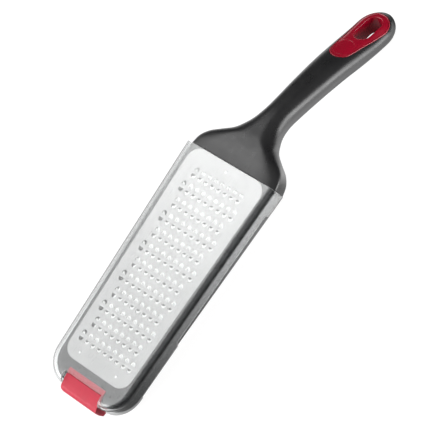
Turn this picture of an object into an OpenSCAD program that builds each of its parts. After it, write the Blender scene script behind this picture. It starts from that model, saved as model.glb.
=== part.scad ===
// Hand grater: a tapered head with a two-way grating plate, a soft handle
// that bends away from the plate, a red foot at the tip, a red inlay with a
// hanging slot at the handle's end, and a clear cover that slides over the head.
// The pieces are laid out on the plate: x runs from the foot to the handle,
// z = 0 is the top of the plate, and x = 0 is near the middle of the grating field.
// place() then lays the whole tool down on its foot and handle tip.

/* [Head] */
// Taper of each side of the head, in degrees
taper = 1.6; // [0.8:0.1:2.2]
// Where the head ends and the shoulder starts
step_x = 78.5; // [76:0.5:81]
// Where the frame ends at the foot
frame_end_x = -102; // [-103:0.5:-100]
// Half width of the frame in the middle of the grating field
frame_half = 38.2; // [37.6:0.1:38.5]
// Depth of the frame below the plate at the handle
frame_depth = 13.8; // [13:0.1:14]
// Depth of the frame below the plate at the foot
nose_depth = 8.7; // [8:0.1:10]
// Rounding of the frame's top edge along the sides
frame_edge = 5; // [4:0.5:5]
// Length of the frame's domed nose
nose_len = 11; // [8:0.5:11]
// Radius of the frame's corners at the foot
frame_corner = 17.5; // [14:0.5:18]
// Width of the ledge that carries the plate
ledge = 2.6; // [2:0.2:4]

/* [Grating plate] */
// Half width of the plate in the middle of the grating field
plate_half = 33; // [31:0.5:34]
// End of the plate at the foot
plate_end_x = -87; // [-89:0.5:-86]
// Thickness of the sheet
plate_t = 0.5; // [0.4:0.1:0.6]
// Radius of the plate's corners
plate_corner = 10; // [6:0.5:12]
// Rows of teeth
tooth_rows = 12; // [4:1:12]
// Distance between rows
row_pitch = 12; // [11:0.5:12]
// Distance between teeth in a row
tooth_pitch = 6; // [5.5:0.1:6]
// Length of one two-way tooth opening
tooth_len = 8.2; // [8:0.2:9]
// Width of one tooth opening
tooth_w = 3.8; // [3.6:0.1:4.2]
// Height of the tooth tips above the plate
tooth_h = 0.95; // [0.6:0.05:1.1]

/* [Cover] */
// Wall of the clear cover
cover_wall = 1.4; // [1.2:0.1:1.6]
// Gap between frame and cover at the sides
cover_gap = 0.6; // [0.5:0.1:1]
// Gap between frame and cover at the foot end
cover_end_gap = 1; // [0.8:0.1:1.5]
// Inside height of the cover above the plate
cover_room = 1.5; // [1.4:0.1:2]
// Depth of the cover's side skirts below the plate
skirt_depth = 9.3; // [9:0.1:10]
// Depth of the skirts along the finger cut-outs
cutout_depth = 6.5; // [5:0.5:8]
// Foot end of the finger cut-outs
cutout_from = -41; // [-50:1:-30]
// Handle end of the finger cut-outs
cutout_to = 62; // [50:1:66]

/* [Foot] */
// Width of the foot
foot_w = 35.6; // [30:0.1:37]
// Tip of the foot
foot_tip_x = -108.7; // [-111:0.1:-108]
// Where the foot starts on the frame
foot_root_x = -92.4; // [-93:0.1:-91]

/* [Handle] */
// Length of the rounded tip of the handle
tip_len = 17; // [15:1:18]
// Tilt of the inlay at the handle's end, in degrees
inlay_tilt = 25; // [22:0.5:27]
// Width of the hanging slot
slot_w = 12.4; // [8:0.2:13]
// Length of the hanging slot
slot_len = 23.7; // [18:0.1:25]
// Wall of the red collar inside the slot
collar_wall = 1.5; // [1:0.1:2]
// Lean of the plate when the tool lies on its foot and handle
lean = 8.4; // [8:0.1:9]

/* [Hidden] */
$fn = 64;
slope = tan(taper);
side_q = sqrt(1 + slope * slope);
frame_top = -0.15;
field_x = row_pitch * 5 + 1.8;
cover_half = frame_half + cover_gap + cover_wall;
cover_end_x = frame_end_x - cover_end_gap - cover_wall;
cover_corner = frame_corner + 2.5;
cover_top = cover_room + cover_wall;
cover_edge = frame_edge + 0.5;
notch_half = foot_w / 2 + 0.55;
notch_x = -96.1;
end_skirt_x = -82;
bridge = 1.35;
tongue_w = 2.2;
tongue_reach = 2.75;
mid_x = 64.1;

// Stations along the shoulder and handle: x, centre z, tilt, half width,
// half height, upper corner (y, z) and lower corner (y, z).
stations = [
  [step_x, -5.9,   0,    40.4, 7.9,  21,   5.4, 1.6,  1.6],
  [86,     -5.85,  1,    38.4, 7.85, 20,   5.6, 2.4,  2.2],
  [92,     -6.6,   3,    34,   8,    17,   6.2, 5,    4],
  [97,     -7.55,  5,    27.2, 8.25, 14.5, 7.2, 9,    6.6],
  [102,    -8.7,   7.5,  20.5, 8.5,  14,   8.1, 11.5, 7.9],
  [108,    -10.3,  10.5, 16.2, 8.7,  12.6, 8.5, 12.6, 8.5],
  [114,    -11.8,  13,   13.2, 8.8,  11,   8.6, 11,   8.6],
  [121,    -13.65, 16.5, 11.5, 8.85, 9.6,  8.7, 9.6,  8.7],
  [128,    -15.9,  18.5, 11,   8.9,  9.2,  8.7, 9.2,  8.7],
  [150,    -23.75, 21.5, 12.2, 8.85, 10.2, 8.6, 10.2, 8.6],
  [172,    -32.65, 24,   13.4, 8.95, 11.2, 8.7, 11.2, 8.7],
  [190,    -41.3,  25,   14.3, 8.7,  12,   8.45, 12,   8.45],
  [207,    -49.15, 23.5, 14.7, 8.1,  12.3, 7.9, 12.3, 7.9],
  [229,    -57.15, 21,   14.5, 8.4,  12.2, 8.2, 12.2, 8.2]
];
last = len(stations) - 1;
tip_x = 228.6 - tip_len;
ring_xs = [step_x, 81, 83.5, 86, 88, 90, 92, 94, 95.5, 97, 98.5, 100, 102, 104, 106, 108, 111, 114, 117, 121, 125,
           130, 136, 143, 150, 158, 166, 174, 182, 190, 198, 206, tip_x];
tip_turns = [12, 24, 36, 46, 55, 63, 70, 76, 82, 87];
arc_n = 7;

function find(x, i = 0) = (i >= last - 1 || stations[i + 1][0] > x) ? i : find(x, i + 1);
function run(i, c) =
  let (a = max(i - 1, 0), b = min(i + 1, last))
  (stations[b][c] - stations[a][c]) / (stations[b][0] - stations[a][0]);
function at(x, c) =
  let (i = find(x), h = stations[i + 1][0] - stations[i][0], t = (x - stations[i][0]) / h, t2 = t * t, t3 = t2 * t)
  (2 * t3 - 3 * t2 + 1) * stations[i][c] + (t3 - 2 * t2 + t) * h * run(i, c)
  + (3 * t2 - 2 * t3) * stations[i + 1][c] + (t3 - t2) * h * run(i + 1, c);
function ring(x, ka = 1, kb = 1) =
  let (cz = at(x, 1), tilt = at(x, 2), a = at(x, 3) * ka, b = at(x, 4) * kb,
       uy = at(x, 5) * ka, uz = at(x, 6) * kb, ly = at(x, 7) * ka, lz = at(x, 8) * kb)
  [for (q = [0:3]) for (k = [0:arc_n])
    let (t = 90 * (q + k / arc_n), up = q < 2, right = (q == 0 || q == 3),
         ry = up ? uy : ly, rz = up ? uz : lz,
         y = (right ? a - ry : ry - a) + ry * cos(t),
         w = (up ? b - rz : rz - b) + rz * sin(t))
    [x + w * sin(tilt), y, cz + w * cos(tilt)]];
rings = concat([for (x = ring_xs) ring(x)],
               [for (t = tip_turns) ring(tip_x + tip_len * sin(t), pow(cos(t), 1.08), pow(cos(t), 0.9))]);
handle_points = [for (r = rings) for (p = r) p];
rest_z = min([for (p = handle_points) p.x * sin(lean) + p.z * cos(lean)]);

// Lays the tool down so that the foot and the handle's tip touch z = 0.
module place() {
  translate([-mid_x, 0, -rest_z]) rotate([0, -lean, 0]) children();
}

// Tapered outline with rounded corners, radius r0 at x0 and r1 at x1.
module outline(x0, x1, half, r0, r1) {
  y0 = half + slope * (x0 + r0) - r0 * side_q;
  y1 = half + slope * (x1 - r1) - r1 * side_q;
  up = [[x0 + r0 - r0 * slope / side_q, y0 + r0 / side_q], [x1 - r1 - r1 * slope / side_q, y1 + r1 / side_q]];
  polygon([[x0, y0], up[0], up[1], [x1, y1], [x1, -y1], [up[1].x, -up[1].y], [up[0].x, -up[0].y], [x0, -y0]]);
  for (s = [-1, 1]) {
    translate([x0 + r0, s * y0]) circle(r0);
    if (r1 > 0) translate([x1 - r1, s * y1]) circle(r1);
  }
}

// One level of a tapered body, rounded at the foot and square at the handle.
function level(x0, x1, half, r, z) =
  let (y0 = half + slope * (x0 + r) - r * side_q, y1 = half + slope * x1, n = 10)
  concat([[x1, y1, z]],
         [for (k = [0:n]) let (t = 90 + taper + (90 - taper) * k / n) [x0 + r + r * cos(t), y0 + r * sin(t), z]],
         [for (k = [0:n]) let (t = 180 + (90 - taper) * k / n) [x0 + r + r * cos(t), r * sin(t) - y0, z]],
         [[x1, -y1, z]]);

// Solid through a stack of rings that run anticlockwise seen from the side they go to.
module stack(rs) {
  n = len(rs[0]);
  m = len(rs);
  polyhedron(
    points = [for (r = rs) for (p = r) p],
    faces = concat(
      [[for (j = [0:n - 1]) j]],
      [[for (j = [n - 1:-1:0]) (m - 1) * n + j]],
      [for (i = [0:m - 2]) for (j = [0:n - 1])
        let (a = i * n + j, b = i * n + (j + 1) % n) [a, a + n, b + n]],
      [for (i = [0:m - 2]) for (j = [0:n - 1])
        let (a = i * n + j, b = i * n + (j + 1) % n) [a, b + n, b]]));
}

// Tapered body with a rounded top edge that runs further back at the nose.
module rounded_body(x0, x1, half, corner, edge, bottom, top, nose = 0) {
  stack(concat(
    [level(x0, x1, half, corner, bottom)],
    [for (t = [0:15:90])
      let (in = edge * (1 - cos(t)), back = max(nose, edge) * (1 - cos(t)))
      level(x0 + back, x1, half - in, corner - in, top - edge + edge * sin(t))]));
}

function arc(x, y, r, from, to, n) = [for (k = [0:n]) let (t = from + (to - from) * k / n) [x + r * cos(t), y + r * sin(t)]];

// Two rounds of different size joined by their common tangents.
module two_rounds(xa, ra, xb, rb) {
  turn = 90 + asin((rb - ra) / (xb - xa));
  polygon(concat(arc(xb, 0, rb, -turn, turn, 24), arc(xa, 0, ra, turn, 360 - turn, 24)));
}

// Side profile swept across the tool, from -w to +w.
module across(w) {
  translate([0, w, 0]) rotate([90, 0, 0]) linear_extrude(2 * w) children();
}

// One half of a two-way tooth opening, or the tongue in it.
module half_tooth(reach, w) {
  translate([bridge - 0.2, -w / 2]) square([reach - w / 2 - bridge + 0.2, w]);
  translate([reach - w / 2, 0]) circle(w / 2);
}

module each_tooth() {
  for (r = [0:tooth_rows - 1], side = [0, 1]) {
    n = 8 + r % 2;
    for (i = [0:n - 1])
      translate([field_x - row_pitch * r, (i - (n - 1) / 2) * tooth_pitch])
        mirror([side, 0, 0]) children();
  }
}

// The rigid tang inside the handle.
module tang() {
  mids = [for (x = [step_x - 3, 92, 102, 114, 128, 150, 176]) [x, x < step_x ? -6.5 : at(x, 1) - 0.3]];
  intersection() {
    across(30) polygon(concat([for (p = mids) [p.x, p.y + 3.2]],
                              [for (i = [len(mids) - 1:-1:0]) [mids[i].x, mids[i].y - 3.2]]));
    translate([0, 0, -60]) linear_extrude(80)
      polygon([[step_x - 5, 24], [88, 22], [100, 9], [112, 6], [180, 6], [180, -6], [112, -6], [100, -9], [88, -22], [step_x - 5, -24]]);
  }
}

// Local frame of the inlay: x along the handle, z out of its top.
module on_inlay() {
  translate([207, 0, at(207, 1)]) rotate([0, inlay_tilt, 0]) children();
}

module inlay_panel(grow, z0, z1) {
  on_inlay() translate([0, 0, z0]) linear_extrude(z1 - z0) two_rounds(-24.6, 8.7 + grow, 5.4, 12.4 + grow);
}

module slot_prism(grow, z0, z1) {
  r = slot_w / 2;
  on_inlay() translate([0, 0, z0]) linear_extrude(z1 - z0)
    two_rounds(-10.3 + r, r + grow, slot_len - 10.3 - r, r + grow);
}

module handle_body() {
  stack(rings);
}

// The handle's end a little smaller all round: the floor inside the inlay's rim.
module handle_core() {
  ka = 0.968;
  kb = 0.953;
  stack(concat([for (x = [174, 182, 190, 198, 206, tip_x]) ring(x, ka, kb)],
               [for (t = [12, 24, 36, 46, 55, 63, 70]) ring(tip_x + tip_len * sin(t), ka * pow(cos(t), 1.08), kb * pow(cos(t), 0.9))]));
}

// Rim, foot bar, crossbar and tang in one moulding.
module head_frame() {
  color([0.12, 0.12, 0.13]) place() {
    difference() {
      rounded_body(frame_end_x, step_x, frame_half, frame_corner, frame_edge, -frame_depth - 1, frame_top, nose_len);
      // underside, rising towards the nose
      across(60) polygon([[step_x + 1, -40], [step_x + 1, -frame_depth], [-60, 1.6 - frame_depth], [-78, 2.4 - frame_depth],
                          [-91, -nose_depth - 1.6], [frame_end_x - 1, -nose_depth], [frame_end_x - 1, -40]]);
      translate([0, 0, -plate_t]) linear_extrude(5) 
        outline(plate_end_x - 0.1, step_x + 0.2, plate_half + 0.1, plate_corner + 0.1, plate_corner + 0.3);
      translate([0, 0, -30]) linear_extrude(40) outline(-79, 66, plate_half - ledge, 8, 8);
      translate([-130, -foot_w / 2, -40]) cube([130 + foot_root_x, foot_w, 60]);
    }
    translate([foot_root_x - 7.5, -11, -9]) cube([8, 22, 5]);
    tang();
  }
}

// Stamped sheet with raised tongues either side of each bridge.
module grating_plate() {
  color([0.86, 0.87, 0.88]) place() {
    difference() {
      translate([0, 0, -plate_t]) linear_extrude(plate_t)
        outline(plate_end_x, step_x - 0.2, plate_half, plate_corner, plate_corner);
      translate([0, 0, -5]) linear_extrude(10) each_tooth() difference() {
        half_tooth(tooth_len / 2, tooth_w);
        translate([-2, -5]) square([2 + bridge, 10]);
      }
    }
    intersection() {
      for (r = [0:tooth_rows - 1], side = [0, 1])
        translate([field_x - row_pitch * r, 0, 0]) mirror([side, 0, 0]) across(30)
          polygon([[bridge - 0.3, 0.08 - plate_t], [bridge - 0.3, -0.12], [tongue_reach + 0.1, tooth_h],
                   [tongue_reach + 0.1, tooth_h + 0.05 - plate_t]]);
      translate([0, 0, -3]) linear_extrude(6) each_tooth() half_tooth(tongue_reach, tongue_w);
    }
    for (p = [[72.7, 0], [-80.7, 18], [-80.7, -18]])
      translate([p.x, p.y, 0]) intersection() {
        translate([0, 0, -1.7]) sphere(2);
        translate([-3, -3, -0.2]) cube([6, 6, 3]);
      }
  }
}

// Soft shoulder and handle, moulded over the tang.
module handle_grip() {
  color([0.2, 0.2, 0.21]) place() difference() {
    handle_body();
    tang();
    inlay_panel(0, 3.6, 40);
    slot_prism(collar_wall, -40, 40);
  }
}

// Red inlay with its border rim, and the collar through the handle.
module end_insert() {
  color([0.72, 0.03, 0.16]) place() difference() {
    intersection() {
      handle_body();
      union() {
        inlay_panel(-0.05, 3.6, 40);
        slot_prism(collar_wall - 0.05, -40, 10);
      }
    }
    difference() {
      inlay_panel(-0.85, 3.7, 40);
      handle_core();
    }
    slot_prism(0, -60, 60);
  }
}

// Foot with a rounded lip and a groove where the cover ends, cut flat where it stands.
module front_foot() {
  color([0.86, 0.16, 0.22]) difference() {
    place() difference() {
      intersection() {
        across(foot_w / 2) polygon(concat(
          [[foot_root_x, -30], [foot_root_x, 0.1], [-97, 0.2], [-103.4, -1]],
          [for (t = [75:-15:0]) [foot_tip_x + 5 - 5 * cos(t), -6.2 + 5 * sin(t)]],
          [[foot_tip_x, -9], [foot_tip_x + 1.2, -12], [foot_tip_x + 2.5, -30]]));
        translate([0, 0, -60]) linear_extrude(90) union() {
          translate([foot_tip_x + 2.4, -foot_w / 2]) square([40, foot_w]);
          translate([foot_tip_x, -foot_w / 2 + 2.4]) square([40, foot_w - 4.8]);
          for (s = [-1, 1]) translate([foot_tip_x + 2.4, s * (foot_w / 2 - 2.4)]) circle(2.4);
        }
      }
      translate([foot_root_x - 7.5, -11, -9]) cube([8, 22, 5]);
      translate([-96.6, -40, -1.2]) cube([0.6, 80, 5]);
    }
    translate([-300, -100, -100]) cube([600, 200, 100]);
  }
}

// Clear cover, open underneath and towards the handle.
module blade_cover() {
  color([0.9, 0.93, 0.95, 0.35]) place() difference() {
    rounded_body(cover_end_x, step_x - 0.3, cover_half, cover_corner, cover_edge, -skirt_depth - 1, cover_top);
    rounded_body(cover_end_x + cover_wall, step_x + 20, cover_half - cover_wall, cover_corner - cover_wall,
                 cover_edge - cover_wall, -40, cover_room);
    // notch for the foot, flared at the lower edge
    translate([-140, 0, 0]) rotate([90, 0, 90]) linear_extrude(140 + notch_x) polygon(concat(
      [[-notch_half - 5, -40], [notch_half + 5, -40]],
      arc(notch_half + 5, 3.5 - skirt_depth, 5, 270, 180, 6),
      [[notch_half, 40], [-notch_half, 40]],
      arc(-notch_half - 5, 3.5 - skirt_depth, 5, 0, -90, 6)));
    // side skirts are a little shorter than the end
    translate([end_skirt_x, -60, -40]) cube([200, 120, 40 - skirt_depth]);
    // finger cut-outs
    across(60) polygon(concat([[cutout_from, -40]],
      arc(cutout_from + 2, -cutout_depth - 2, 2, 180, 90, 4),
      arc(cutout_to - 2, -cutout_depth - 2, 2, 90, 0, 4), [[cutout_to, -40]]));
  }
}

head_frame();
grating_plate();
handle_grip();
end_insert();
front_foot();
blade_cover();
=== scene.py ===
"""Looks of the hand grater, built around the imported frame.

Everything is modelled in millimetres on the grating plate (x from the foot to
the handle, z = 0 on the plate), then laid down with place(), as in the CAD.
"""

import math

import bmesh
import bpy
import numpy as np
from mathutils import Matrix, Vector
from mathutils.bvhtree import BVHTree
from mathutils.geometry import delaunay_2d_cdt
from mathutils.interpolate import poly_3d_calc


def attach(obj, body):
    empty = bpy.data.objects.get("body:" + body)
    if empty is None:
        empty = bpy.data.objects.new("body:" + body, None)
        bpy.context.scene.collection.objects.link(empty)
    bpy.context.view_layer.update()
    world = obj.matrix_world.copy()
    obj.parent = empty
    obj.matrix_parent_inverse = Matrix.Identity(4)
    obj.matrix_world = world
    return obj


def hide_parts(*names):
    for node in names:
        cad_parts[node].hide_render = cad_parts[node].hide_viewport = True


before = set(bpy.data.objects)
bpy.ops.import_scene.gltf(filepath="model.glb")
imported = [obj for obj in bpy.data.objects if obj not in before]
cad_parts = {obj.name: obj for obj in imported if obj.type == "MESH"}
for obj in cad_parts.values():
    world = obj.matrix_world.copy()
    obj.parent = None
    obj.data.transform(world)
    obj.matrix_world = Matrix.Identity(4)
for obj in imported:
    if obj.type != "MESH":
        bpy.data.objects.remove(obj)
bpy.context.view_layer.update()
scene = bpy.context.scene

# ------------------------------------------------------------------ sizes, mm
LEAN = math.radians(8.4)
MID_X, REST_Z = 64.1, -28.2957
TAPER = math.radians(1.6)
SLOPE = math.tan(TAPER)
SIDE_Q = math.sqrt(1 + SLOPE * SLOPE)
STEP_X = 78.5
FRAME_END, FRAME_HALF = -102.0, 38.2
FRAME_EDGE, NOSE_LEN, FRAME_CORNER, FRAME_TOP = 5.0, 11.0, 17.5, -0.15
PLATE_HALF, PLATE_END, PLATE_T, PLATE_CORNER = 33.0, -87.0, 0.5, 10.0
LEDGE = 2.6
WALL, COVER_END, COVER_HALF, COVER_CORNER = 1.4, -104.4, 40.2, 20.0
COVER_TOP, COVER_ROOM, COVER_EDGE, COVER_CROWN = 2.9, 1.5, 5.5, 5.5
SKIRT, CUT_DEPTH, CUT_A, CUT_B = 9.3, 6.5, -41.0, 62.0
NOTCH_HALF, NOTCH_X, END_SKIRT_X = 18.35, -96.1, -82.0
FOOT_W, FOOT_TIP, FOOT_ROOT = 35.6, -108.7, -92.4
TIP_LEN = 17.0
TIP_X = 228.6 - TIP_LEN
INLAY_X, INLAY_TILT = 207.0, math.radians(25)
SLOT_W, SLOT_A, SLOT_B = 12.4, -10.3, 13.4
PANEL = (-24.6, 8.7, 5.4, 12.4)
COLLAR = 1.5

STATIONS = np.array([
    [STEP_X, -5.9, 0, 40.4, 7.9, 21, 5.4, 1.6, 1.6],
    [86, -5.85, 1, 38.4, 7.85, 20, 5.6, 2.4, 2.2],
    [92, -6.6, 3, 34, 8, 17, 6.2, 5, 4],
    [97, -7.55, 5, 27.2, 8.25, 14.5, 7.2, 9, 6.6],
    [102, -8.7, 7.5, 20.5, 8.5, 14, 8.1, 11.5, 7.9],
    [108, -10.3, 10.5, 16.2, 8.7, 12.6, 8.5, 12.6, 8.5],
    [114, -11.8, 13, 13.2, 8.8, 11, 8.6, 11, 8.6],
    [121, -13.65, 16.5, 11.5, 8.85, 9.6, 8.7, 9.6, 8.7],
    [128, -15.9, 18.5, 11, 8.9, 9.2, 8.7, 9.2, 8.7],
    [150, -23.75, 21.5, 12.2, 8.85, 10.2, 8.6, 10.2, 8.6],
    [172, -32.65, 24, 13.4, 8.95, 11.2, 8.7, 11.2, 8.7],
    [190, -41.3, 25, 14.3, 8.7, 12, 8.45, 12, 8.45],
    [207, -49.15, 23.5, 14.7, 8.1, 12.3, 7.9, 12.3, 7.9],
    [229, -57.15, 21, 14.5, 8.4, 12.2, 8.2, 12.2, 8.2],
], float)

CL, SL = math.cos(LEAN), math.sin(LEAN)
PLACE = Matrix(((CL, 0, -SL, -MID_X), (0, 1, 0, 0), (SL, 0, CL, -REST_Z), (0, 0, 0, 1)))
TO_WORLD = Matrix.Scale(0.001, 4) @ PLACE


# ------------------------------------------------------------------ mesh helpers
def new_object(name, verts, faces):
    me = bpy.data.meshes.new(name)
    me.from_pydata([tuple(float(c) for c in v) for v in verts], [], [tuple(int(i) for i in f) for f in faces])
    me.validate()
    ob = bpy.data.objects.new(name, me)
    scene.collection.objects.link(ob)
    return ob


def edit(ob, work):
    bm = bmesh.new()
    bm.from_mesh(ob.data)
    work(bm)
    bm.to_mesh(ob.data)
    bm.free()
    ob.data.update()


def tidy(ob, dist=1e-4):
    def work(bm):
        bmesh.ops.remove_doubles(bm, verts=bm.verts, dist=dist)
        bmesh.ops.dissolve_degenerate(bm, edges=bm.edges, dist=dist)
        bmesh.ops.recalc_face_normals(bm, faces=bm.faces)
    edit(ob, work)
    return ob


def boolean(ob, cutter, operation="DIFFERENCE"):
    mod = ob.modifiers.new("cut", "BOOLEAN")
    mod.object, mod.operation, mod.solver = cutter, operation, "EXACT"
    bpy.context.view_layer.update()
    dg = bpy.context.evaluated_depsgraph_get()
    me = bpy.data.meshes.new_from_object(ob.evaluated_get(dg))
    ob.modifiers.clear()
    old = ob.data
    ob.data = me
    bpy.data.meshes.remove(old)
    cut_mesh = cutter.data
    bpy.data.objects.remove(cutter)
    bpy.data.meshes.remove(cut_mesh)
    return ob


def soften(ob, width, angle, segments=2, keep=None):
    """Rounds the edges that turn by more than angle degrees."""
    def work(bm):
        bmesh.ops.recalc_face_normals(bm, faces=bm.faces)
        lim = math.radians(angle)
        es = [e for e in bm.edges if len(e.link_faces) == 2 and e.calc_face_angle(0) > lim
              and (keep is None or keep(e))]
        bmesh.ops.bevel(bm, geom=es, offset=width, offset_type="OFFSET", segments=segments, profile=0.5,
                        affect="EDGES", clamp_overlap=True)
        bmesh.ops.remove_doubles(bm, verts=bm.verts, dist=1e-4)
    edit(ob, work)
    return ob


def rings_object(name, loops, closed=False, caps=True):
    """Quads between consecutive rings of equal length."""
    n, m = len(loops[0]), len(loops)
    verts = np.concatenate([np.asarray(r, float) for r in loops])
    faces = []
    for i in range(m if closed else m - 1):
        a0, b0 = i * n, ((i + 1) % m) * n
        for j in range(n):
            k = (j + 1) % n
            faces.append((a0 + j, a0 + k, b0 + k, b0 + j))
    if caps and not closed:
        faces.append(tuple(range(n)))
        faces.append(tuple((m - 1) * n + j for j in range(n - 1, -1, -1)))
    return tidy(new_object(name, verts, faces))


def prism(name, outline, z0, z1):
    """Solid over an (x, y) outline."""
    o = np.asarray(outline, float)
    return rings_object(name, [np.c_[o, np.full(len(o), z0)], np.c_[o, np.full(len(o), z1)]])


def across(name, profile, w):
    """Side profile (x, z) swept from -w to +w."""
    o = np.asarray(profile, float)
    return rings_object(name, [np.c_[o[:, 0], np.full(len(o), -w), o[:, 1]], np.c_[o[:, 0], np.full(len(o), w), o[:, 1]]])


def arc(x, y, r, a, b, n):
    t = np.radians(np.linspace(a, b, n + 1))
    return np.c_[x + r * np.cos(t), y + r * np.sin(t)]


def smooth(ob, angle):
    ob.data.polygons.foreach_set("use_smooth", [True] * len(ob.data.polygons))
    ob.data.set_sharp_from_angle(angle=math.radians(angle))
    return ob


def weigh(ob):
    mod = ob.modifiers.new("weighted", "WEIGHTED_NORMAL")
    mod.keep_sharp, mod.weight = True, 60
    dg = bpy.context.evaluated_depsgraph_get()
    me = bpy.data.meshes.new_from_object(ob.evaluated_get(dg))
    ob.modifiers.clear()
    ob.data = me
    return ob


def lay_down(ob):
    ob.data.transform(TO_WORLD)
    ob.data.update()
    return ob


# ------------------------------------------------------------------ outlines of the head
DEG = math.degrees(TAPER)


def loop(x0, x1, half, r0, r1, z, n=16):
    """Tapered outline with four rounded corners, anticlockwise."""
    y0 = half + SLOPE * (x0 + r0) - r0 * SIDE_Q
    y1 = half + SLOPE * (x1 - r1) - r1 * SIDE_Q
    p = np.concatenate([
        arc(x1 - r1, y1, r1, 0, 90 + DEG, n), arc(x0 + r0, y0, r0, 90 + DEG, 180, n),
        arc(x0 + r0, -y0, r0, 180, 270 - DEG, n), arc(x1 - r1, -y1, r1, 270 - DEG, 360, n)])
    return np.c_[p, np.full(len(p), z)]


def level(x0, x1, half, r, z, n=20):
    """Outline that is rounded at the foot and square at the handle."""
    y0 = half + SLOPE * (x0 + r) - r * SIDE_Q
    y1 = half + SLOPE * x1
    p = np.concatenate([[[x1, y1]], arc(x0 + r, y0, r, 90 + DEG, 180, n), arc(x0 + r, -y0, r, 180, 270 - DEG, n), [[x1, -y1]]])
    return np.c_[p, np.full(len(p), z)]


# ------------------------------------------------------------------ head frame
def underside(points, up):
    """Moves a loop to the frame's underside, which rises towards the nose."""
    points[:, 2] = up - np.interp(points[:, 0], [-103, -91, -78, -60, 79.5], [8.7, 10.3, 11.4, 12.2, 13.8])
    return points


def make_frame():
    ls = []
    for t in np.radians(np.linspace(0, 90, 5)):
        i = 0.8 * (1 - math.sin(t))
        ls.append(underside(loop(FRAME_END + i, STEP_X, FRAME_HALF - i, FRAME_CORNER - i, 0.15, 0), 0.8 * (1 - math.cos(t))))
    for t in np.radians(np.arange(0, 91, 5)):
        i, back = FRAME_EDGE * (1 - math.cos(t)), NOSE_LEN * (1 - math.cos(t))
        ls.append(loop(FRAME_END + back, STEP_X, FRAME_HALF - i, FRAME_CORNER - i, 0.15, FRAME_TOP - FRAME_EDGE * (1 - math.sin(t))))
    for g, z in ((0.06, FRAME_TOP), (0.0, FRAME_TOP - 0.08), (0.0, -PLATE_T)):
        ls.append(loop(PLATE_END - 0.12 - g, STEP_X - 0.04, PLATE_HALF + 0.12 + g, PLATE_CORNER + 0.1, PLATE_CORNER + 0.1, z))
    for g, z in ((0.15, -PLATE_T), (0.0, -PLATE_T - 0.15)):
        ls.append(loop(-79 - g, 66 + g, PLATE_HALF - LEDGE + g, 8 + g, 8 + g, z))
    for g, up in ((0.0, 0.5), (0.15, 0.15), (0.5, 0.0)):
        ls.append(underside(loop(-79 - g, 66 + g, PLATE_HALF - LEDGE + g, 8 + g, 8 + g, 0), up))
    ob = rings_object("frame_moulding", ls, closed=True)
    boolean(ob, prism("c", [(-130, -FOOT_W / 2 - 0.06), (FOOT_ROOT + 0.06, -FOOT_W / 2 - 0.06),
                            (FOOT_ROOT + 0.06, FOOT_W / 2 + 0.06), (-130, FOOT_W / 2 + 0.06)], -40, 20))
    smooth(ob, 32)
    weigh(ob)
    return lay_down(ob)


# ------------------------------------------------------------------ grating plate
ROWS, ROW_PITCH, PITCH = 12, 12.0, 6.0
BRIDGE, OPEN_W, OPEN_REACH, TONGUE_W, TONGUE_REACH, TOOTH_H = 1.35, 3.8, 4.1, 2.2, 2.75, 0.95


SPOTS = ((72.7, 0), (-80.7, 18), (-80.7, -18))


def tongue_z(x, v):
    t = np.clip((x - BRIDGE) / (TONGUE_REACH + 0.1 - BRIDGE), 0, 1)
    return TOOTH_H * (0.75 * t + 0.25 * t * t) + 0.05 * t * (1 - v * v)


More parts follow.
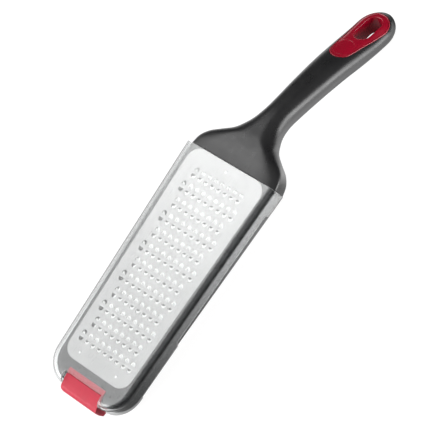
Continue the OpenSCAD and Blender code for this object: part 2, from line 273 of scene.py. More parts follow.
def make_plate():
    centres = []
    for r in range(ROWS):
        n = 8 + r % 2
        for i in range(n):
            centres.append((ROW_PITCH * 5 + 1.8 - ROW_PITCH * r, (i - (n - 1) / 2) * PITCH))
    nv, nu = 8, 9
    ys = np.linspace(-TONGUE_W / 2, TONGUE_W / 2, nv + 1)
    # one half opening, from its upper root corner round the tip to the lower one, then along the root
    half = np.concatenate([
        [[BRIDGE, OPEN_W / 2]], arc(OPEN_REACH - OPEN_W / 2, 0, OPEN_W / 2, 90, -90, 14), [[BRIDGE, -OPEN_W / 2]],
        np.c_[np.full(nv + 1, BRIDGE), ys]])
    pts, edges = [], []

    def add_loop(p):
        base = len(pts)
        pts.extend(Vector((float(a), float(b))) for a, b in p)
        edges.extend((base + k, base + (k + 1) % len(p)) for k in range(len(p)))

    outer = loop(PLATE_END, STEP_X - 0.2, PLATE_HALF, PLATE_CORNER, PLATE_CORNER, 0, 18)[:, :2]
    add_loop(outer)
    for cx, cy in centres:
        for side in (1, -1):
            add_loop([(cx + side * a, cy + b) for a, b in half])
    vo, _, fo, *_ = delaunay_2d_cdt(pts, edges, [], 5, 1e-6)
    verts = [(v.x, v.y, 0.0) for v in vo]
    faces = [tuple(f) for f in fo]
    hole = set()
    # faces inside an opening are left out
    keep = []
    cen = np.array(centres)
    for f in faces:
        m = np.mean([verts[i][:2] for i in f], axis=0)
        d = np.abs(m - cen)
        near = (d[:, 0] < OPEN_REACH) & (d[:, 0] > BRIDGE + 1e-4) & (d[:, 1] < OPEN_W / 2)
        inside = False
        for k in np.nonzero(near)[0]:
            x, y = d[k]
            if x <= OPEN_REACH - OPEN_W / 2 or math.hypot(x - (OPEN_REACH - OPEN_W / 2), y) < OPEN_W / 2 - 1e-3:
                inside = True
        if not inside:
            keep.append(f)
    faces = keep
    for cx, cy in centres:
        for side in (1, -1):
            base = len(verts)
            for j, y in enumerate(ys):
                tip = TONGUE_REACH - TONGUE_W / 2 + math.sqrt(max((TONGUE_W / 2) ** 2 - y * y, 0))
                for u in range(nu + 1):
                    x = BRIDGE + (tip - BRIDGE) * u / nu
                    z = float(tongue_z(x, y / (TONGUE_W / 2))) if u else 0.0
                    verts.append((cx + side * x, cy + y, z))
            for j in range(nv):
                for u in range(nu):
                    a, b = base + j * (nu + 1) + u, base + (j + 1) * (nu + 1) + u
                    faces.append((a, a + 1, b + 1, b) if side > 0 else (a, b, b + 1, a + 1))
    ob = new_object("steel_plate", verts, faces)

    def work(bm):
        bmesh.ops.remove_doubles(bm, verts=bm.verts, dist=2e-3)
        for f in bm.faces:
            if f.normal.z < 0:
                f.normal_flip()
        rim = [e for e in bm.edges if len(e.link_faces) == 1]
        top = list(bm.faces)
        twin = {}
        for v in list(bm.verts):
            twin[v] = bm.verts.new((v.co.x, v.co.y, v.co.z - PLATE_T))
        for f in top:
            bm.faces.new([twin[v] for v in reversed(f.verts)])
        for e in rim:
            l = e.link_loops[0]
            a, b = l.vert, l.link_loop_next.vert
            bm.faces.new((b, a, twin[a], twin[b]))
        bm.normal_update()
        # break the sheared edges
        es = [e for e in bm.edges if len(e.link_faces) == 2 and e.calc_face_angle(0) > math.radians(55)]
        bmesh.ops.bevel(bm, geom=es, offset=0.06, offset_type="OFFSET", segments=1, profile=0.5, affect="EDGES", clamp_overlap=True)
        # three small spot marks where the sheet is fixed
        for px, py in SPOTS:
            rings = []
            for a in np.radians((90, 70, 50, 30, 12)):
                rings.append([bm.verts.new((px + 1.05 * math.sin(a) * math.cos(t), py + 1.05 * math.sin(a) * math.sin(t),
                                            -0.12 + 0.42 * math.cos(a))) for t in np.linspace(0, 2 * math.pi, 21)[:-1]])
            for r0, r1 in zip(rings, rings[1:]):
                for k in range(20):
                    bm.faces.new((r0[k], r0[(k + 1) % 20], r1[(k + 1) % 20], r1[k]))
            bm.faces.new(rings[-1])
            bm.faces.new(list(reversed(rings[0])))
    edit(ob, work)
    smooth(ob, 28)
    # the spot marks are coloured brighter than the brushed sheet
    spot = ob.data.attributes.new("spot", "FLOAT", "FACE")
    for p in ob.data.polygons:
        c = p.center
        spot.data[p.index].value = 1.0 if c.z > 0.005 and any(math.hypot(c.x - a, c.y - b) < 1.2 for a, b in SPOTS) else 0.0
    return lay_down(ob)


# ------------------------------------------------------------------ handle
def at(x, c):
    s = STATIONS
    last = len(s) - 1
    i = int(np.clip(np.searchsorted(s[:, 0], x, "right") - 1, 0, last - 1))

    def run(k):
        a, b = max(k - 1, 0), min(k + 1, last)
        return (s[b, c] - s[a, c]) / (s[b, 0] - s[a, 0])
    h = s[i + 1, 0] - s[i, 0]
    t = (x - s[i, 0]) / h
    return ((2 * t**3 - 3 * t**2 + 1) * s[i, c] + (t**3 - 2 * t**2 + t) * h * run(i)
            + (3 * t**2 - 2 * t**3) * s[i + 1, c] + (t**3 - t**2) * h * run(i + 1))


def ring(x, ka=1.0, kb=1.0, n=12, flat=10):
    cz, tilt, a, b, uy, uz, ly, lz = (at(x, c) for c in range(1, 9))
    a, uy, ly, b, uz, lz = a * ka, uy * ka, ly * ka, b * kb, uz * kb, lz * kb
    p = []
    for q in range(4):
        up, right = q < 2, q in (0, 3)
        ry, rz = (uy, uz) if up else (ly, lz)
        for k in range(n + 1):
            t = math.radians(90 * (q + k / n))
            p.append(((a - ry if right else ry - a) + ry * math.cos(t), (b - rz if up else rz - b) + rz * math.sin(t)))
        if q in (0, 2):
            y0, w0 = p[-1]
            p += [(y0 * (1 - 2 * k / flat), w0) for k in range(1, flat)]
    tilt = math.radians(tilt)
    return [(x + w * math.sin(tilt), y, cz + w * math.cos(tilt)) for y, w in p]


def handle_loft(name, inset=0.0):
    xs = list(np.linspace(STEP_X, 130, 42)) + list(np.linspace(132, TIP_X, 36))
    a0, b0 = at(STEP_X, 3), at(STEP_X, 4)

    def kept(x, ka=1, kb=1):
        a, b = at(x, 3), at(x, 4)
        return ring(x, max(ka - inset / a, 0.01), max(kb - inset / b, 0.01))
    ls = [ring(STEP_X, 1 - (0.35 + inset) / a0, 1 - (0.35 + inset) / b0)]
    ls += [kept(STEP_X + 0.1, 1 - 0.1 / a0, 1 - 0.1 / b0), kept(STEP_X + 0.35)]
    ls += [kept(x) for x in xs[1:]]
    for t in np.radians(list(range(5, 85, 5)) + [84.5, 87, 88.5]):
        ls.append(kept(TIP_X + (TIP_LEN - inset) * math.sin(t), math.cos(t) ** 1.08, math.cos(t) ** 0.9))
    return rings_object(name, ls)


def inlay(s, y, z):
    """Point in the inlay's own frame to the plate's."""
    c, q = math.cos(INLAY_TILT), math.sin(INLAY_TILT)
    return Vector((INLAY_X + s * c + z * q, y, at(INLAY_X, 1) - s * q + z * c))


def two_rounds(xa, ra, xb, rb, n=28, m=16):
    """Two rounds joined by straight tangents, as one even loop."""
    turn = 90 + math.degrees(math.asin((rb - ra) / (xb - xa)))
    A, B = arc(xb, 0, rb, -turn, turn, n), arc(xa, 0, ra, turn, 360 - turn, n)
    join = lambda p, q: [p + (q - p) * k / m for k in range(1, m)]
    return np.array(list(A) + join(A[-1], B[0]) + list(B) + join(B[-1], A[0]))


def panel(grow):
    xa, ra, xb, rb = PANEL
    return two_rounds(xa, ra + grow, xb, rb + grow)


def slot(grow):
    r = SLOT_W / 2
    return two_rounds(SLOT_A + r, r + grow, SLOT_B - r, r + grow)


def inlay_prism(name, outline, z0, z1):
    n = len(outline)
    return rings_object(name, [[inlay(s, y, z) for s, y in outline] for z in (z0, z1)])


def copy_normals(ob, tree, source):
    """Gives the uncut surface's normals to the faces that came from it."""
    me = ob.data
    src = source.data
    vn = [v.normal.copy() for v in src.vertices]
    custom = [Vector((0, 0, 0))] * len(me.loops)
    corner = [n.vector.copy() for n in me.corner_normals]
    for p in me.polygons:
        on = False
        hit = tree.find_nearest(p.center)
        if hit[0] is not None and hit[3] < 0.02 and abs(hit[1].dot(p.normal)) > 0.97:
            on = True
        for li in p.loop_indices:
            custom[li] = corner[li]
            if on:
                co = me.vertices[me.loops[li].vertex_index].co
                loc, nor, fi, d = tree.find_nearest(co)
                if d < 0.05:
                    poly = src.polygons[fi]
                    w = poly_3d_calc([src.vertices[i].co for i in poly.vertices], loc)
                    v = Vector((0, 0, 0))
                    for k, i in enumerate(poly.vertices):
                        v += vn[i] * w[k]
                    if v.dot(p.normal) > 0.6:
                        custom[li] = v.normalized()
    me.normals_split_custom_set(custom)


def make_handle(uncut, tree):
    ob = handle_loft("soft_handle")
    boolean(ob, inlay_prism("c", panel(0.24), 3.6, 40))
    boolean(ob, inlay_prism("c", slot(COLLAR), -40, 40))
    smooth(ob, 34)
    copy_normals(ob, tree, uncut)
    return lay_down(ob)


# ------------------------------------------------------------------ red inlay with the hanging slot
MEDAL = (-22.4, 7.7)


def make_inlay(tree):
    up = inlay(0, 0, 1) - inlay(0, 0, 0)

    def skin(s, y, below=False):
        o = inlay(s, y, -40 if below else 40)
        hit = tree.ray_cast(o, up if below else -up)
        return -40 + hit[3] if below else 40 - hit[3]

    top = lambda o, dz: [inlay(s, y, skin(s, y) + dz) for s, y in o]
    low = lambda o, dz: [inlay(s, y, skin(s, y, True) + dz) for s, y in o]
    flat = lambda o, z: [inlay(s, y, z) for s, y in o]

    def dist_slot(s, y):
        r = SLOT_W / 2
        a, b = SLOT_A + r, SLOT_B - r
        return math.hypot(s - min(max(s, a), b), y) - r

    def dist_panel(s, y):
        xa, ra, xb, rb = PANEL
        y, t, h = abs(y), s - xa, xb - xa
        q = (ra - rb) / h
        c = math.sqrt(1 - q * q)
        k = c * t - q * y
        if k < 0:
            return math.hypot(y, t) - ra
        return math.hypot(y, t - h) - rb if k > c * h else c * y + q * t - ra

    def floor_z(s, y):
        d = dist_slot(s, y)
        z = skin(s, y) - 0.42
        z -= 0.55 * max(0.0, 1 - d / 3.2) ** 2                       # dished towards the slot
        r = math.hypot(s - MEDAL[0], y) - MEDAL[1]
        z += 0.17 * math.exp(-(r / 0.36) ** 2)                       # thin raised ring
        if r < 0:
            z -= 0.10 * min(1.0, -r / 0.9)                           # shallow round field inside it
        return z

    # outside of the rim, its rounded top, and its inner slope down to the floor
    o = [panel(g) for g in (-0.07, -0.10, -0.22, -0.42, -0.62, -0.74, -0.85)]
    rim = [flat(o[0], 3.6), top(o[0], -0.30), top(o[1], -0.10), top(o[2], 0.02), top(o[3], 0.06), top(o[4], -0.02), top(o[5], -0.20)]
    edge_in = [inlay(s, y, floor_z(s, y)) for s, y in o[6]]
    # slot: rounded lip, wall, lower lip, collar
    sl = [slot(g) for g in (0.75, 0.45, 0.2, 0.05, 0.0)]
    lip0 = [inlay(s, y, floor_z(s, y)) for s, y in sl[0]]
    lip = [[inlay(s, y, floor_z(s, y) - d) for s, y in q] for q, d in ((sl[1], -0.03), (sl[2], 0.05), (sl[3], 0.22), (sl[4], 0.5))]
    wall = [low(sl[4], 0.45), low(sl[3], 0.18), low(sl[2], 0.03), low(slot(0.5), 0.0), low(slot(COLLAR - 0.08), 0.0), flat(slot(COLLAR - 0.08), 3.6)]
    n = len(o[0])
    rings = rim + [edge_in]
    verts, faces = [], []

    def strip(a, b):
        for j in range(n):
            k = (j + 1) % n
            faces.append((a + j, a + k, b + k, b + j))
    for r in rings:
        verts += r
    for i in range(len(rings) - 1):
        strip(i * n, (i + 1) * n)
    base = len(verts)
    for r in [lip0] + lip + wall:
        verts += r
    cnt = 1 + len(lip) + len(wall)
    for i in range(cnt - 1):
        strip(base + i * n, base + (i + 1) * n)
    # underside of the flange, between the collar and the outer wall
    strip(base + (cnt - 1) * n, 0)
    # floor: even triangles between rim and slot
    pts, edges = [], []
    for q in (o[6], sl[0]):
        b0 = len(pts)
        pts += [Vector((float(a), float(b))) for a, b in q]
        edges += [(b0 + k, b0 + (k + 1) % n) for k in range(n)]
    step = 0.42
    for i, s in enumerate(np.arange(-34, 18, step * 0.866)):
        for y in np.arange(-13, 13, step) + (step / 2 if i % 2 else 0):
            if dist_panel(s, y) < -1.15 and dist_slot(s, y) > 1.0:
                pts.append(Vector((float(s), float(y))))
    vo, _, fo, *_ = delaunay_2d_cdt(pts, edges, [], 0, 1e-6)
    start = len(verts)
    verts += [inlay(v.x, v.y, floor_z(v.x, v.y)) for v in vo]
    for f in fo:
        m = np.mean([[vo[i].x, vo[i].y] for i in f], axis=0)
        if dist_slot(*m) > 0.745:
            faces.append(tuple(start + i for i in f))
    ob = tidy(new_object("red_inlay", verts, faces), 2e-3)
    smooth(ob, 50)
    return lay_down(ob)


# ------------------------------------------------------------------ foot
def make_foot():
    prof = [(FOOT_ROOT, -30), (FOOT_ROOT, 0.1), (-94, 0.2), (-97, 0.2), (-100.5, -0.25), (-103.4, -1.0)]
    prof += [(FOOT_TIP + 5 - 5 * math.cos(t), -6.2 + 5 * math.sin(t)) for t in np.radians(np.arange(75, -1, -7.5))]
    prof += [(FOOT_TIP, -9), (FOOT_TIP + 1.2, -12), (FOOT_TIP + 2.5, -30)]
    ob = across("rubber_foot", prof, FOOT_W / 2)
    w, r = FOOT_W / 2, 2.4
    plan = ([(-60, w)] + list(arc(FOOT_TIP + r, w - r, r, 90, 180, 10)) + list(arc(FOOT_TIP + r, r - w, r, 180, 270, 10)) + [(-60, -w)])
    boolean(ob, prism("c", plan, -60, 30), "INTERSECT")
    floor_cut = prism("c", [(-300, -100), (300, -100), (300, 100), (-300, 100)], -100, 0)
    floor_cut.data.transform(PLACE.inverted())
    boolean(ob, floor_cut)
    tidy(ob, 1e-3)
    soften(ob, 0.6, 40, 3)
    boolean(ob, across("c", [(-96.0, 5), (-96.0, -1.2), (-96.6, -1.2), (-96.6, 5)], 40))
    tidy(ob, 1e-3)
    smooth(ob, 40)
    weigh(ob)
    return lay_down(ob)


# ------------------------------------------------------------------ clear cover
def rounded(name, x0, x1, half, corner, edge, crown, bottom, top):
    ls = [level(x0, x1, half, corner, bottom)]
    for t in np.radians(np.arange(0, 91, 5)):
        i = crown * (1 - math.cos(t))
        ls.append(level(x0 + i, x1, half - i, corner - i, top - edge + edge * math.sin(t)))
    return rings_object(name, ls)


def make_cover():
    ob = rounded("clear_cover", COVER_END, STEP_X - 0.3, COVER_HALF, COVER_CORNER, COVER_EDGE, COVER_CROWN, -SKIRT - 1, COVER_TOP)
    boolean(ob, rounded("c", COVER_END + WALL, STEP_X + 20, COVER_HALF - WALL, COVER_CORNER - WALL, COVER_EDGE - WALL,
                        COVER_CROWN - WALL, -40, COVER_ROOM))
    notch = ([(-NOTCH_HALF - 5, -40), (NOTCH_HALF + 5, -40)] + list(arc(NOTCH_HALF + 5, 3.5 - SKIRT, 5, 270, 180, 8))
             + [(NOTCH_HALF, 40), (-NOTCH_HALF, 40)] + list(arc(-NOTCH_HALF - 5, 3.5 - SKIRT, 5, 0, -90, 8)))
    o = np.array(notch)
    boolean(ob, rings_object("c", [np.c_[np.full(len(o), x), o] for x in (-140, NOTCH_X)]))
    boolean(ob, rings_object("c", [[(END_SKIRT_X, -60, z), (200, -60, z), (200, 60, z), (END_SKIRT_X, 60, z)] for z in (-40, -SKIRT)]))
    cut = ([(CUT_A, -40)] + list(arc(CUT_A + 2, -CUT_DEPTH - 2, 2, 180, 90, 6))
           + list(arc(CUT_B - 2, -CUT_DEPTH - 2, 2, 90, 0, 6)) + [(CUT_B, -40)])
    boolean(ob, across("c", cut, 60))
    tidy(ob, 1e-3)
    soften(ob, 0.25, 40, 2)
    smooth(ob, 40)
    weigh(ob)
    # the moulded edges are matt: every face that belongs to neither wall
    rim = ob.data.attributes.new("rim", "FLOAT", "FACE")
    for p in ob.data.polygons:
        n, c = p.normal, p.center
        on = ((n.z < -0.3 and c.z < -5) or (c.x > STEP_X - 0.62 and n.x > 0.3)
              or (c.x < NOTCH_X + 0.35 and abs(c.y) < NOTCH_HALF + 0.35 and (abs(n.y) > 0.3 or n.x < -0.3))
              or (c.z < -CUT_DEPTH + 0.3 and abs(n.x) > 0.3 and (abs(c.x - CUT_A) < 2.4 or abs(c.x - CUT_B) < 2.4))
              or (c.z < -SKIRT + 0.3 and n.x > 0.3 and abs(c.x - END_SKIRT_X) < 0.4))
        rim.data[p.index].value = 1.0 if on else 0.0
    return lay_down(ob)


# ------------------------------------------------------------------ materials
def material(name):
    m = bpy.data.materials.new(name)
    m.use_nodes = True
    nt = m.node_tree
    b = nt.nodes["Principled BSDF"]
    return m, nt, b


def put(nt, kind, **values):
    n = nt.nodes.new(kind)
    for k, v in values.items():
        if k in n.inputs:
            n.inputs[k].default_value = v
        else:
            setattr(n, k, v)
    return n


def noise(nt, scale, detail=2.0, rough=0.5, stretch=None):
    tc = put(nt, "ShaderNodeTexCoord")
    n = put(nt, "ShaderNodeTexNoise", Scale=scale, Detail=detail, Roughness=rough)
    if stretch:
        mp = put(nt, "ShaderNodeMapping")
        mp.inputs["Scale"].default_value = stretch
        mp.inputs["Rotation"].default_value = (0, LEAN, 0)
        nt.links.new(tc.outputs["Object"], mp.inputs["Vector"])
        nt.links.new(mp.outputs["Vector"], n.inputs["Vector"])
    else:
        nt.links.new(tc.outputs["Object"], n.inputs["Vector"])
    return n.outputs["Fac"]


def spread(nt, fac, lo, hi, a=0.3, b=0.7):
    n = put(nt, "ShaderNodeMapRange")
    n.inputs["From Min"].default_value, n.inputs["From Max"].default_value = a, b
    n.inputs["To Min"].default_value, n.inputs["To Max"].default_value = lo, hi
    nt.links.new(fac, n.inputs["Value"])
    return n.outputs["Result"]


def tint(nt, fac, c0, c1, a=0.3, b=0.7):
    n = put(nt, "ShaderNodeValToRGB")
    n.color_ramp.elements[0].position, n.color_ramp.elements[1].position = a, b
    n.color_ramp.elements[0].color, n.color_ramp.elements[1].color = (*c0, 1), (*c1, 1)
    nt.links.new(fac, n.inputs["Fac"])
    return n.outputs["Color"]


def bump(nt, b, heights, distance):
    """Sum of (height, strength) as one bump chain."""
    last = None
    for fac, strength in heights:
        n = put(nt, "ShaderNodeBump", Strength=strength, Distance=distance)
        nt.links.new(fac, n.inputs["Height"])
        if last is not None:
            nt.links.new(last, n.inputs["Normal"])
        last = n.outputs["Normal"]
    nt.links.new(last, b.inputs["Normal"])


def black_plastic():
    m, nt, b = material("black_moulded_plastic")
    cloud = noise(nt, 60, 3)
    nt.links.new(tint(nt, cloud, (0.010, 0.010, 0.011), (0.016, 0.016, 0.017)), b.inputs["Base Color"])
    nt.links.new(spread(nt, noise(nt, 220, 4, 0.6), 0.17, 0.26), b.inputs["Roughness"])
    bump(nt, b, [(noise(nt, 3200, 2), 0.06), (noise(nt, 25, 2), 0.05)], 0.0004)
    return m


def soft_touch():
    m, nt, b = material("soft_touch_charcoal")
    nt.links.new(tint(nt, noise(nt, 45, 4), (0.0075, 0.0075, 0.008), (0.0105, 0.0105, 0.011)), b.inputs["Base Color"])
    nt.links.new(spread(nt, noise(nt, 140, 4, 0.6), 0.26, 0.34), b.inputs["Roughness"])
    b.inputs["Specular IOR Level"].default_value = 0.46
    bump(nt, b, [(noise(nt, 5200, 2), 0.10), (noise(nt, 1500, 2), 0.05)], 0.0003)
    return m


def satin_steel():
    m, nt, b = material("satin_steel")
    b.inputs["Metallic"].default_value = 1.0
    lines = noise(nt, 1.0, 3, 0.6, (70, 5200, 70))
    mark = put(nt, "ShaderNodeAttribute", attribute_name="spot")
    tone = put(nt, "ShaderNodeMix", data_type="RGBA")
    nt.links.new(mark.outputs["Fac"], tone.inputs[0])
    nt.links.new(tint(nt, noise(nt, 35, 3), (0.243, 0.241, 0.240), (0.270, 0.268, 0.267)), tone.inputs[6])
    tone.inputs[7].default_value = (0.62, 0.62, 0.62, 1)
    nt.links.new(tone.outputs[2], b.inputs["Base Color"])
    nt.links.new(spread(nt, lines, 0.27, 0.36), b.inputs["Roughness"])
    bump(nt, b, [(lines, 0.05), (noise(nt, 30, 2), 0.06)], 0.0003)
    return m


def red_plastic():
    m, nt, b = material("red_gloss_plastic")
    nt.links.new(tint(nt, noise(nt, 80, 3), (0.215, 0.0008, 0.0115), (0.25, 0.001, 0.014)), b.inputs["Base Color"])
    nt.links.new(spread(nt, noise(nt, 260, 4, 0.6), 0.16, 0.24), b.inputs["Roughness"])
    bump(nt, b, [(noise(nt, 2600, 2), 0.05), (noise(nt, 60, 2), 0.05)], 0.0003)
    return m


def red_rubber():
    m, nt, b = material("red_rubber")
    nt.links.new(tint(nt, noise(nt, 120, 4), (0.41, 0.0035, 0.026), (0.46, 0.005, 0.031)), b.inputs["Base Color"])
    nt.links.new(spread(nt, noise(nt, 500, 4, 0.6), 0.42, 0.55), b.inputs["Roughness"])
    b.inputs["Specular IOR Level"].default_value = 0.35
    bump(nt, b, [(noise(nt, 4200, 2), 0.12), (noise(nt, 700, 2), 0.05)], 0.0003)
    return m


def clear_plastic():
    m, nt, b = material("clear_plastic")
    b.inputs["Transmission Weight"].default_value = 1.0
    b.inputs["IOR"].default_value = 1.55
    b.inputs["Base Color"].default_value = (0.975, 0.985, 0.985, 1)
    edge = put(nt, "ShaderNodeAttribute", attribute_name="rim")
    rough = put(nt, "ShaderNodeMath", operation="MULTIPLY_ADD")
    rough.inputs[1].default_value = 0.55
    nt.links.new(edge.outputs["Fac"], rough.inputs[0])
    nt.links.new(spread(nt, noise(nt, 180, 4, 0.6), 0.015, 0.045), rough.inputs[2])
    nt.links.new(rough.outputs["Value"], b.inputs["Roughness"])
    bump(nt, b, [(noise(nt, 18, 2), 0.04)], 0.0004)
    out = nt.nodes["Material Output"]
    lp = put(nt, "ShaderNodeLightPath")
    tr = put(nt, "ShaderNodeBsdfTransparent")
    nt.links.new(tint(nt, edge.outputs["Fac"], (0.93, 0.94, 0.94), (0.25, 0.25, 0.25), 0.0, 1.0), tr.inputs["Color"])
    smoke = put(nt, "ShaderNodeVolumeAbsorption")
    smoke.inputs["Color"].default_value = (0.62, 0.63, 0.63, 1)
    smoke.inputs["Density"].default_value = 110.0
    nt.links.new(smoke.outputs["Volume"], out.inputs["Volume"])
    mix = put(nt, "ShaderNodeMixShader")
    nt.links.new(lp.outputs["Is Shadow Ray"], mix.inputs["Fac"])
    nt.links.new(b.outputs["BSDF"], mix.inputs[1])
    nt.links.new(tr.outputs["BSDF"], mix.inputs[2])
    nt.links.new(mix.outputs["Shader"], out.inputs["Surface"])
    return m


# ------------------------------------------------------------------ camera
cam = bpy.data.objects.new("camera", bpy.data.cameras.new("camera"))
scene.collection.objects.link(cam)
cam.data.sensor_fit = "HORIZONTAL"
cam.data.sensor_width = 36.0
cam.data.lens = 204.3265
cam.data.clip_start, cam.data.clip_end = 0.05, 50
cam.matrix_world = Matrix((
    (0.6159285, 0.76812053, -0.17499409, -0.2981241),
    (-0.68900272, 0.41752323, -0.59241, -0.9512655),
    (-0.38197818, 0.48545361, 0.78640159, 1.2875101),
    (0, 0, 0, 1)))
scene.camera = cam

# ------------------------------------------------------------------ the object
uncut = handle_loft("uncut_handle")
uncut.data.polygons.foreach_set("use_smooth", [True] * len(uncut.data.polygons))
tree = BVHTree.FromPolygons([v.co for v in uncut.data.vertices], [p.vertices for p in uncut.data.polygons])

built = [
    (make_frame(), black_plastic(), "head_frame", "frame_plastic", "grater"),
    (make_plate(), satin_steel(), "grating_plate", "plate_steel", "grater"),
    (make_handle(uncut, tree), soft_touch(), "handle_grip", "grip_soft", "grater"),
    (make_inlay(tree), red_plastic(), "end_insert", "inlay_red", "grater"),
    (make_foot(), red_rubber(), "front_foot", "foot_red", "grater"),
    (make_cover(), clear_plastic(), "blade_cover", "cover_clear", "cover"),
]
bpy.data.objects.remove(uncut)
for ob, mat, node, slot_name, body in built:
    ob.data.materials.clear()
    ob.data.materials.append(mat)
    for p in ob.data.polygons:
        p.material_index = 0
    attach(ob, body)
    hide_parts(node)

# ------------------------------------------------------------------ floor and light
def heading(az, el):
    """Direction by azimuth from +Y towards +X, and elevation, in degrees."""
    az, el = math.radians(az), math.radians(el)
    return Vector((math.sin(az) * math.cos(el), math.cos(az) * math.cos(el), math.sin(el)))


floor = new_object("floor", [(-2.5, -2.5, 0), (2.5, -2.5, 0), (2.5, 2.5, 0), (-2.5, 2.5, 0)], [(0, 1, 2, 3)])
fm, fnt, fb = material("pale_floor")
fb.inputs["Roughness"].default_value = 0.9
fb.inputs["Specular IOR Level"].default_value = 0.1
fnt.links.new(tint(fnt, noise(fnt, 3, 2), (0.12, 0.12, 0.12), (0.13, 0.13, 0.13)), fb.inputs["Base Color"])
fb.inputs["Emission Color"].default_value = (1, 1, 1, 1)
# painted light on the floor's emission, which lights the object: dimmer on the left, brighter out towards the lamp
# beside the handle
ftc = put(fnt, "ShaderNodeTexCoord")
fxyz = put(fnt, "ShaderNodeSeparateXYZ")
fnt.links.new(ftc.outputs["Object"], fxyz.inputs["Vector"])


def ramp(axis, x0, x1, v0, v1):
    n = put(fnt, "ShaderNodeMapRange")
    n.interpolation_type = "SMOOTHSTEP"
    n.inputs["From Min"].default_value, n.inputs["From Max"].default_value = x0, x1
    n.inputs["To Min"].default_value, n.inputs["To Max"].default_value = v0, v1
    fnt.links.new(fxyz.outputs[axis], n.inputs["Value"])
    return n.outputs["Result"]


def calc(operation, *values):
    n = put(fnt, "ShaderNodeMath")
    n.operation = operation
    for k, v in enumerate(values):
        if isinstance(v, float):
            n.inputs[k].default_value = v
        else:
            fnt.links.new(v, n.inputs[k])
    return n.outputs["Value"]


left = calc("MAXIMUM", calc("MAXIMUM", ramp("Y", 0.064, 0.050, 0.22, 0.92), ramp("Y", 0.09, 0.14, 0.0, 0.75)), ramp("X", 0.0, 0.05, 0.0, 0.95))
right = calc("MULTIPLY", ramp("X", -0.17, 0.06, 0.15, 2.9), ramp("Y", -0.40, -0.16, 0.15, 1.0))
# painted shadow: the floor's emission is dimmer close beside the shoulder
beside = calc("MAXIMUM", calc("MAXIMUM", ramp("X", 0.018, 0.030, 1.0, 0.45), ramp("X", 0.050, 0.062, 0.45, 1.0)), ramp("Y", -0.10, -0.13, 0.45, 1.0))
right = calc("MULTIPLY", right, beside)
painted_floor_light = calc("MULTIPLY_ADD", ramp("Y", -0.012, -0.035, 0.0, 1.0), calc("SUBTRACT", right, left), left)
# painted shadow: the floor's emission is darkened under the handle's end
painted_shadow_under_tip = calc("MAXIMUM", calc("MAXIMUM", ramp("X", 0.115, 0.10, 0.0, 1.0), ramp("X", 0.140, 0.158, 0.45, 0.06)),
             calc("MAXIMUM", ramp("Y", 0.010, 0.022, 0.0, 1.0), ramp("Y", -0.006, -0.016, 0.0, 1.0)))
painted_floor_light = calc("MULTIPLY", painted_floor_light, painted_shadow_under_tip)
# seen directly it is even white paper
seen = put(fnt, "ShaderNodeLightPath")
even = put(fnt, "ShaderNodeMix")
even.inputs["B"].default_value = 0.95
fnt.links.new(seen.outputs["Is Camera Ray"], even.inputs["Factor"])
fnt.links.new(painted_floor_light, even.inputs["A"])
fnt.links.new(even.outputs["Result"], fb.inputs["Emission Strength"])
# clear from below, so that the underside can be looked at
side = put(fnt, "ShaderNodeNewGeometry")
clear = put(fnt, "ShaderNodeBsdfTransparent")
one_way = put(fnt, "ShaderNodeMixShader")
fnt.links.new(side.outputs["Backfacing"], one_way.inputs["Fac"])
fnt.links.new(fb.outputs["BSDF"], one_way.inputs[1])
fnt.links.new(clear.outputs["BSDF"], one_way.inputs[2])
fnt.links.new(one_way.outputs["Shader"], next(n for n in fnt.nodes if n.type == "OUTPUT_MATERIAL").inputs["Surface"])
floor.data.materials.append(fm)

# soft box beside the handle
box = bpy.data.lights.new("side_softbox", "AREA")
box.shape, box.size, box.size_y = "RECTANGLE", 0.34, 0.26
box.spread = math.radians(75)
box.energy = 1.82 * math.pi * box.size * box.size_y
lamp = bpy.data.objects.new("side_softbox", box)
scene.collection.objects.link(lamp)
aim = Vector((0.10, 0.0, 0.03))
lamp.location = aim + heading(158, 6) * 0.36
lamp.rotation_euler = (aim - lamp.location).to_track_quat("-Z", "Y").to_euler()
lamp.visible_camera = False

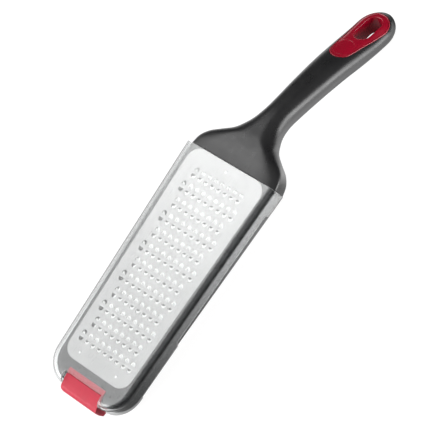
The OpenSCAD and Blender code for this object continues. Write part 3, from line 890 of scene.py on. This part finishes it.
world = bpy.data.worlds.new("studio")
scene.world = world
world.use_nodes = True
wn = world.node_tree
bg = wn.nodes["Background"]
tc = wn.nodes.new("ShaderNodeTexCoord")


def lobe(az, el, lo, hi, strength):
    """Soft light from one side of the room."""
    dot = wn.nodes.new("ShaderNodeVectorMath")
    dot.operation = "DOT_PRODUCT"
    dot.inputs[1].default_value = heading(az, el)
    wn.links.new(tc.outputs["Generated"], dot.inputs[0])
    mr = wn.nodes.new("ShaderNodeMapRange")
    mr.interpolation_type = "SMOOTHSTEP"
    mr.inputs["From Min"].default_value, mr.inputs["From Max"].default_value = lo, hi
    mr.inputs["To Min"].default_value, mr.inputs["To Max"].default_value = 0, strength
    wn.links.new(dot.outputs["Value"], mr.inputs["Value"])
    return mr.outputs["Result"]


def plus(*parts):
    total = parts[0]
    for part in parts[1:]:
        n = wn.nodes.new("ShaderNodeMath")
        n.operation = "ADD"
        for k, v in enumerate((total, part)):
            if isinstance(v, float):
                n.inputs[k].default_value = v
            else:
                wn.links.new(v, n.inputs[k])
        total = n.outputs["Value"]
    return total


light = plus(lobe(-38, 38, 0.62, 0.85, 2.3), lobe(15, 52.5, 0.962, 0.994, 2.9), lobe(-58, 16, 0.85, 0.97, 3.5),
             lobe(180, 76, 0.55, 1.0, 0.5), 0.07)
wn.links.new(light, bg.inputs["Strength"])
bg.inputs["Color"].default_value = (1, 1, 1, 1)
# what the camera sees past the floor is plain pale paper
paper = wn.nodes.new("ShaderNodeBackground")
paper.inputs["Color"].default_value = (1, 1, 1, 1)
path = wn.nodes.new("ShaderNodeLightPath")
choose = wn.nodes.new("ShaderNodeMixShader")
wn.links.new(path.outputs["Is Camera Ray"], choose.inputs["Fac"])
wn.links.new(bg.outputs["Background"], choose.inputs[1])
wn.links.new(paper.outputs["Background"], choose.inputs[2])
wn.links.new(choose.outputs["Shader"], wn.nodes["World Output"].inputs["Surface"])

scene.view_settings.view_transform = "Standard"
scene.view_settings.look = "None"
scene.view_settings.exposure = 0.0
scene.view_settings.gamma = 1.0
